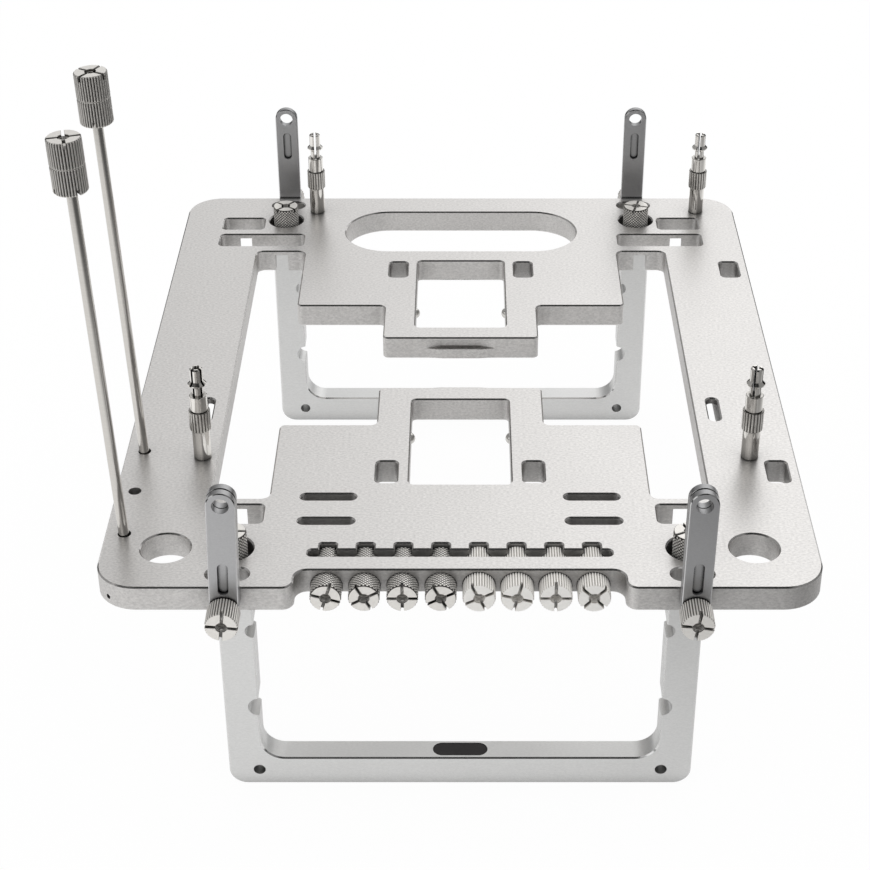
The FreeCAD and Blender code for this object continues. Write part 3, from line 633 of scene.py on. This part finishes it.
def straight_body(crest, length, turn, stem=None, hole=None, hole_depth=None):
    """Straight-knurled body with its slotted face at height 0, facing up."""
    sizes = bpy.context.scene.bench_hardware
    profile = face_profile(crest, length, sizes.rim_bevel) + (stem or [(0, -length)])
    blank = turned_blank(profile, len(RIDGE_PROFILE) * sizes.ridge_count)
    bevel = sizes.rim_bevel
    straight_knurl(blank, crest, sizes.ridge_count, sizes.ridge_depth, bevel - length, -bevel)
    return slotted(blank, crest, crest - sizes.ridge_depth, turn, hole or sizes.face_hole,
                   hole_depth or sizes.face_hole_depth, length)


def diamond_body(crest, length, turn, stem=None):
    """Diamond-knurled body with its slotted face at height 0, facing up."""
    sizes = bpy.context.scene.bench_hardware
    valley = crest - sizes.diamond_depth
    span = length - 2 * sizes.fine_bevel
    count = round(span / (sizes.diamond_length / 2))
    rows = [-sizes.fine_bevel - span * i / count for i in range(count + 1)]
    profile = face_profile(valley, length, sizes.fine_bevel, rows) + (stem or [(0, -length)])
    blank = turned_blank(profile, 2 * sizes.diamond_count)
    diamond_knurl(blank, valley, rows, sizes.diamond_count, sizes.diamond_gap, sizes.diamond_edge,
                  sizes.diamond_depth)
    return slotted(blank, crest, valley, turn, sizes.face_hole, sizes.face_hole_depth, length)


def standoff_mesh(turn):
    """Snap standoff with its tip's top at height 0."""
    tip_r, tip_l, tip_bevel = 1.8 * MM, 4.0 * MM, 0.4 * MM
    barb_r, barb_l, barb_edge = 2.6 * MM, 2.0 * MM, 0.3 * MM
    neck_r, neck_l = 1.55 * MM, 2.6 * MM
    collar_r, collar_l = 2.475 * MM, 4.9 * MM
    grip_r, grip_l, grip_count, grip_depth = 3.025 * MM, 6.2 * MM, 20, 0.22 * MM
    barrel_r, barrel_l = 2.5 * MM, 9.4 * MM
    pin_r, pin_l = 1.5 * MM, 6.5 * MM
    edge = 0.15 * MM
    profile = [(0, 0), (tip_r - tip_bevel, 0), (tip_r, -tip_bevel)]
    z = -tip_l
    slope = (barb_l - barb_edge) / 2
    profile += [(tip_r, z), (barb_r, z - slope), (barb_r, z - slope - barb_edge), (neck_r, z - barb_l)]
    z -= barb_l + neck_l
    profile.append((neck_r, z))
    for radius, length in ((collar_r, collar_l), (grip_r, grip_l), (barrel_r, barrel_l)):
        profile += [(radius - edge, z), (radius, z - edge), (radius, z - edge - RIM_HOLD)]
        z -= length
        profile += [(radius, z + edge + RIM_HOLD), (radius, z + edge)]
        profile.append((radius - edge, z))
    profile += [(pin_r, z), (pin_r, z - pin_l + edge), (pin_r - edge, z - pin_l), (0, z - pin_l)]
    blank = turned_blank(profile, len(RIDGE_PROFILE) * grip_count)
    grip_top = -tip_l - barb_l - neck_l - collar_l
    straight_knurl(blank, grip_r, grip_count, grip_depth, grip_top - grip_l, grip_top)
    split_width, split_depth = 0.7 * MM, tip_l + barb_l + neck_l
    bore, bore_depth = 1.8 * MM, 6.0 * MM
    tools = [slot_tool(4 * barb_r, split_width, split_depth, edge / 2, turn + quarter)
             for quarter in (0, 90)]
    tools.append(hole_tool(bore, bore_depth, edge / 2))
    mesh = cut_away(blank, tools)

    def depth_at(radius, height):
        in_knurl = grip_top - grip_l < height < grip_top and radius > barrel_r
        return (grip_r - radius) / grip_depth if in_knurl else 0.0

    mark_grooves(mesh, depth_at)
    return mesh


def middle_of(node):
    """Middle of a CAD node's box."""
    low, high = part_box(node)
    return (low + high) / 2


class BenchPlate(bpy.types.Operator):
    """Give the base plate its brushed, anodised finish"""
    bl_idname = "bench.plate"
    bl_label = "Base Plate"

    def execute(self, context):
        dress_node("base_plate", brushed_plate_finish)
        return {"FINISHED"}


class BenchLegs(bpy.types.Operator):
    """Finish the two leg frames and the pads in their crossbars"""
    bl_idname = "bench.legs"
    bl_label = "Leg Frames"

    def execute(self, context):
        for side in ("front", "rear"):
            dress_node(side + "_leg", satin_leg_finish)
            dress_node(side + "_leg_pad", rubber_pad_finish)
        return {"FINISHED"}


class BenchArms(bpy.types.Operator):
    """Finish the six swinging arms"""
    bl_idname = "bench.arms"
    bl_label = "Swinging Arms"

    def execute(self, context):
        for arm in ARMS:
            dress_node(arm, grey_arm_finish)
        return {"FINISHED"}


class BenchLegScrews(bpy.types.Operator):
    """Turn, knurl and thread the four screws that hold the legs"""
    bl_idname = "bench.leg_screws"
    bl_label = "Leg Thumbscrews"

    def execute(self, context):
        head, head_length, stem_length = 8.5 * MM, 10.5 * MM, 10.0 * MM
        thread = 3.9 * MM
        for corner in CORNERS:
            node = corner + "_leg_screw"
            middle, top = middle_of(node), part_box(node)[1].z
            stem = threaded_profile(0, 0, thread / 2, -head_length, -head_length - stem_length)
            mesh = diamond_body(head / 2, head_length, LEG_SCREW_TURNS[corner], stem)
            place = Matrix.Translation((middle.x, middle.y, top)) @ FACING_UP
            fit_piece(corner + "_leg_thumbscrew", mesh, node, place, fine_knurl_finish)
        return {"FINISHED"}


class BenchArmScrews(bpy.types.Operator):
    """Turn, knurl and thread the four screws that the arms swing on"""
    bl_idname = "bench.arm_screws"
    bl_label = "Arm Thumbscrews"

    def execute(self, context):
        head, head_length, stem_length = 8.7 * MM, 7.0 * MM, 10.0 * MM
        shoulder, thread = 4.24 * MM, 3.9 * MM
        plate_low, plate_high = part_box("base_plate")
        for corner in CORNERS:
            node = corner + "_arm_screw"
            low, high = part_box(node)
            middle = middle_of(node)
            if corner.startswith("front"):
                face, facing = low.y, FACING_FRONT
                stack = plate_low.y - (face + head_length)
            else:
                face, facing = high.y, FACING_REAR
                stack = (face - head_length) - plate_high.y
            stem = threaded_profile(shoulder / 2, stack, thread / 2, -head_length,
                                    -head_length - stem_length)
            mesh = straight_body(head / 2, head_length, ARM_SCREW_TURNS[corner], stem)
            place = Matrix.Translation((middle.x, face, middle.z)) @ facing
            fit_piece(corner + "_arm_thumbscrew", mesh, node, place, bright_nickel_finish)
        return {"FINISHED"}


class BenchSparePosts(bpy.types.Operator):
    """Turn and knurl the eight spare posts in the rack"""
    bl_idname = "bench.spare_posts"
    bl_label = "Spare Posts"

    def execute(self, context):
        fine, plain = 8.3 * MM, 8.7 * MM
        for i, turn in enumerate(POST_TURNS):
            node = "spare_post_%d" % (i + 1)
            low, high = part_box(node)
            middle = middle_of(node)
            length = high.y - low.y
            place = Matrix.Translation((middle.x, low.y, middle.z)) @ FACING_FRONT
            name = "knurled_post_%d" % (i + 1)
            if i < len(POST_TURNS) // 2:
                mesh = diamond_body(fine / 2, length, turn)
                fit_piece(name, mesh, node, place, fine_knurl_finish)
            else:
                mesh = straight_body(plain / 2, length, turn)
                fit_piece(name, mesh, node, place, satin_nickel_finish)
        return {"FINISHED"}


class BenchStandoffs(bpy.types.Operator):
    """Turn, knurl and split the four snap standoffs"""
    bl_idname = "bench.standoffs"
    bl_label = "Snap Standoffs"

    def execute(self, context):
        for corner in CORNERS:
            node = corner + "_standoff"
            middle, top = middle_of(node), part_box(node)[1].z
            mesh = standoff_mesh(STANDOFF_TURNS[corner])
            place = Matrix.Translation((middle.x, middle.y, top)) @ FACING_UP
            fit_piece(corner + "_snap_standoff", mesh, node, place, polished_nickel_finish)
        return {"FINISHED"}


class BenchRods(bpy.types.Operator):
    """Finish the two card rods and turn and knurl their four nuts"""
    bl_idname = "bench.rods"
    bl_label = "Card Rods"

    def execute(self, context):
        nut, nut_length, bore = 8.7 * MM, 7.0 * MM, 3.0 * MM
        for rod, turns in NUT_TURNS.items():
            dress_node(rod + "_rod", polished_steel_finish)
            upper, lower = middle_of(rod + "_rod_upper_nut"), middle_of(rod + "_rod_lower_nut")
            along = (upper - lower).normalized()
            lean = Matrix.Rotation(math.atan2(along.x, along.z), 4, "Y")
            over = Matrix.Rotation(math.pi, 4, "X")
            places = {"upper": Matrix.Translation(upper + along * nut_length / 2) @ lean,
                      "lower": Matrix.Translation(lower - along * nut_length / 2) @ lean @ over}
            for (level, place), turn in zip(places.items(), turns):
                mesh = straight_body(nut / 2, nut_length, turn, None, bore, 2 * nut_length)
                node = "%s_rod_%s_nut" % (rod, level)
                name = "%s_rod_%s_thumb_nut" % (rod, level)
                fit_piece(name, mesh, node, place, plain_nickel_finish)
        return {"FINISHED"}


class BenchBallPins(bpy.types.Operator):
    """Finish the four ball pins in the window walls"""
    bl_idname = "bench.ball_pins"
    bl_label = "Ball Pins"

    def execute(self, context):
        for corner in CORNERS:
            dress_node(corner + "_detent", ball_pin_finish)
        return {"FINISHED"}


class BenchStudio(bpy.types.Operator):
    """Set up the floor, the light and the camera"""
    bl_idname = "bench.studio"
    bl_label = "Studio"

    def execute(self, context):
        add_floor()
        light_world()
        hang_lamp()
        place_camera()
        context.scene.view_settings.view_transform = "Standard"
        return {"FINISHED"}


def sweep_paper_finish():
    """Finish of the floor."""
    # White background paper, matte: it shows as plain white and keeps a faint shadow of the object.
    # Metal mirrors it as a painted pool of glowing light under the object that falls to dark outside and
    # to one side; the same painted fall darkens the paper's colour for all but camera rays.
    finish = bpy.data.materials.new("white_sweep_paper")
    finish.use_nodes = True
    tree = finish.node_tree
    tree.nodes.clear()
    camera_share, mirrored_share = 0.96, 0.5
    rays = add_node(tree, "ShaderNodeLightPath")
    mirrored = add_node(tree, "ShaderNodeMath", {0: rays.outputs["Is Glossy Ray"],
                                                 1: rays.outputs["Is Transmission Ray"]},
                        operation="MAXIMUM")
    mirrored = add_node(tree, "ShaderNodeMath", {0: mirrored.outputs[0], 1: mirrored_share},
                        operation="MULTIPLY")
    share = add_node(tree, "ShaderNodeMath", {0: rays.outputs["Is Camera Ray"], 1: camera_share,
                                              2: mirrored.outputs[0]}, operation="MULTIPLY_ADD")
    place = add_node(tree, "ShaderNodeTexCoord")
    towards_dark = (math.sin(DARK_SIDE), -math.cos(DARK_SIDE), 0.0)
    along = add_node(tree, "ShaderNodeVectorMath", {0: place.outputs["Object"], 1: towards_dark},
                     operation="DOT_PRODUCT")
    # Painted light on the floor: its tone falls to dark_tone towards DARK_SIDE and to outside_tone past
    # the pool, while camera rays keep the full tone
    lit_until, dark_from, dark_tone = 0.05, 0.36, 0.12
    painted_fall = add_node(tree, "ShaderNodeMapRange", {"Value": along.outputs["Value"], "From Min": lit_until,
                                                 "From Max": dark_from, "To Min": 1.0,
                                                 "To Max": dark_tone}, interpolation_type="SMOOTHSTEP")
    pool_radius, pool_end, outside_tone = 0.46, 0.6, 0.08
    out = add_node(tree, "ShaderNodeVectorMath", {0: place.outputs["Object"]}, operation="LENGTH")
    painted_pool = add_node(tree, "ShaderNodeMapRange", {"Value": out.outputs["Value"], "From Min": pool_radius,
                                                 "From Max": pool_end, "To Min": 1.0,
                                                 "To Max": outside_tone}, interpolation_type="SMOOTHSTEP")
    tone = add_node(tree, "ShaderNodeMath", {0: painted_fall.outputs[0], 1: painted_pool.outputs[0]},
                    operation="MULTIPLY")
    tone = add_node(tree, "ShaderNodeMath", {0: tone.outputs[0], 1: rays.outputs["Is Camera Ray"]},
                    operation="MAXIMUM")
    paper_tone = linear("#FAFAFA")[0]
    paper = add_node(tree, "ShaderNodeVectorMath", {0: (paper_tone,) * 3, "Scale": tone.outputs[0]},
                     operation="SCALE")
    lit = add_node(tree, "ShaderNodeBsdfDiffuse", {"Color": paper.outputs[0]})
    glow = add_node(tree, "ShaderNodeEmission", {"Strength": tone.outputs[0]})
    mixed = add_node(tree, "ShaderNodeMixShader", {0: share.outputs[0], 1: lit.outputs[0],
                                                   2: glow.outputs[0]})
    add_node(tree, "ShaderNodeOutputMaterial", {"Surface": mixed.outputs[0]})
    return finish


def add_floor():
    """Wide sheet of white paper under the object."""
    floor_half = 4.0
    form = bmesh.new()
    bmesh.ops.create_grid(form, x_segments=1, y_segments=1, size=floor_half)
    floor = as_object("studio_floor", form)
    floor.data.materials.append(sweep_paper_finish())


def studio_side(tree, direction, turn, height, full, none, tone):
    """Brightness factor of one side of the studio: tone within the angle full, 1 beyond none.

    The angles are in degrees. The side's middle is turned to the right of the camera's side and
    lies at a height over the horizon.
    """
    turn, height = math.radians(turn), math.radians(height)
    towards = (math.sin(turn) * math.cos(height), -math.cos(turn) * math.cos(height), math.sin(height))
    nearness = add_node(tree, "ShaderNodeVectorMath", {0: direction, 1: towards}, operation="DOT_PRODUCT")
    return add_node(tree, "ShaderNodeMapRange", {"Value": nearness.outputs["Value"],
                                                 "From Min": math.cos(math.radians(none)),
                                                 "From Max": math.cos(math.radians(full)),
                                                 "To Min": 1.0, "To Max": tone},
                    interpolation_type="SMOOTHSTEP")


def light_world():
    """White studio all round, in which metal also mirrors dark sides and a dark horizon."""
    world = bpy.data.worlds.new("studio")
    bpy.context.scene.world = world
    world.use_nodes = True
    tree = world.node_tree
    tree.nodes.clear()
    direction = add_node(tree, "ShaderNodeTexCoord").outputs["Generated"]
    shade = bpy.context.scene.bench_studio.shade
    band_half, band_end, band_tone = 0.05, 0.15, 0.15
    rise = add_node(tree, "ShaderNodeSeparateXYZ", {"Vector": direction})
    level = add_node(tree, "ShaderNodeMath", {0: rise.outputs["Z"]}, operation="ABSOLUTE")
    horizon = add_node(tree, "ShaderNodeMapRange", {"Value": level.outputs[0],
                                                    "From Min": band_half, "From Max": band_end,
                                                    "To Min": band_tone, "To Max": 1.0},
                       interpolation_type="SMOOTHSTEP")
    # In turn: high over the camera, right, rear left, rear, and high on the left
    sides = [studio_side(tree, direction, turn=5, height=62, full=15, none=30, tone=shade),
             studio_side(tree, direction, turn=72, height=8, full=50, none=74, tone=0.25),
             studio_side(tree, direction, turn=245, height=25, full=26, none=52, tone=0.35),
             studio_side(tree, direction, turn=205, height=25, full=8, none=42, tone=0.88),
             studio_side(tree, direction, turn=-52, height=52, full=10, none=24, tone=0.1)]
    brightness = horizon
    for side in sides:
        brightness = add_node(tree, "ShaderNodeMath", {0: brightness.outputs[0], 1: side.outputs[0]},
                              operation="MULTIPLY")
    around = add_node(tree, "ShaderNodeBackground", {"Color": linear("#FFFFFF"), "Strength": 1.0})
    mirrored = add_node(tree, "ShaderNodeBackground", {"Color": linear("#FFFFFF"),
                                                       "Strength": brightness.outputs[0]})
    rays = add_node(tree, "ShaderNodeLightPath")
    mixed = add_node(tree, "ShaderNodeMixShader", {0: rays.outputs["Is Glossy Ray"], 1: around.outputs[0],
                                                   2: mirrored.outputs[0]})
    add_node(tree, "ShaderNodeOutputWorld", {"Surface": mixed.outputs[0]})


def hang_lamp():
    """Soft box behind the object, on its right."""
    box_width, box_height = 1.0, 0.7
    lamp_place, lit_point = Vector((0.45, 0.85, 0.8)), Vector((0.0, 0.0, 0.07))
    lamp = bpy.data.lights.new("soft_box", "AREA")
    lamp.shape = "RECTANGLE"
    lamp.size, lamp.size_y = box_width, box_height
    lamp.energy = bpy.context.scene.bench_studio.lamp_power
    hung = bpy.data.objects.new("soft_box", lamp)
    hung.location = lamp_place
    hung.rotation_euler = (lit_point - lamp_place).to_track_quat("-Z", "Y").to_euler()
    bpy.context.scene.collection.objects.link(hung)


def place_camera():
    """Camera at the photograph's viewing angle."""
    studio = bpy.context.scene.bench_studio
    middle, top = middle_of("base_plate"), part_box("base_plate")[1].z
    film_width, nearest = 36, 10 * MM
    frame_width, picture_shift = 870, 28.9
    camera = bpy.data.cameras.new("camera")
    camera.lens = studio.focal_length
    camera.sensor_width = film_width
    camera.clip_start = nearest
    camera.shift_x = -picture_shift / frame_width
    stand = bpy.data.objects.new("camera", camera)
    stand.location = (middle.x + studio.camera_right, middle.y - studio.camera_back,
                      top + studio.camera_up)
    stand.rotation_euler = (math.radians(90) - studio.look_down, 0.0, 0.0)
    bpy.context.scene.collection.objects.link(stand)
    bpy.context.scene.camera = stand


OPERATORS = (BenchPlate, BenchLegs, BenchArms, BenchLegScrews, BenchArmScrews, BenchSparePosts,
             BenchStandoffs, BenchRods, BenchBallPins, BenchStudio)
GROUPS = {"bench_hardware": HardwareSizes, "bench_finish": FinishColours, "bench_studio": StudioSettings}


class BenchPanel(bpy.types.Panel):
    """Steps that dress the test bench, in order"""
    bl_idname = "VIEW3D_PT_test_bench"
    bl_label = "Test Bench"
    bl_space_type = "VIEW_3D"
    bl_region_type = "UI"
    bl_category = "Test Bench"

    def draw(self, context):
        column = self.layout.column()
        for operator in OPERATORS:
            column.operator(operator.bl_idname)
        for name, group in GROUPS.items():
            box = self.layout.box()
            for setting in group.__annotations__:
                box.prop(getattr(context.scene, name), setting)


def register():
    """Make the settings, the steps and the panel known to Blender."""
    for name, group in GROUPS.items():
        bpy.utils.register_class(group)
        setattr(bpy.types.Scene, name, bpy.props.PointerProperty(type=group))
    for step in OPERATORS + (BenchPanel,):
        bpy.utils.register_class(step)


def unregister():
    """Take them out again."""
    for step in reversed(OPERATORS + (BenchPanel,)):
        bpy.utils.unregister_class(step)
    for name, group in GROUPS.items():
        delattr(bpy.types.Scene, name)
        bpy.utils.unregister_class(group)


def main():
    """Run every step in order."""
    register()
    for step in OPERATORS:
        group, action = step.bl_idname.split(".")
        getattr(getattr(bpy.ops, group), action)()


if __name__ == "__main__":
    main()
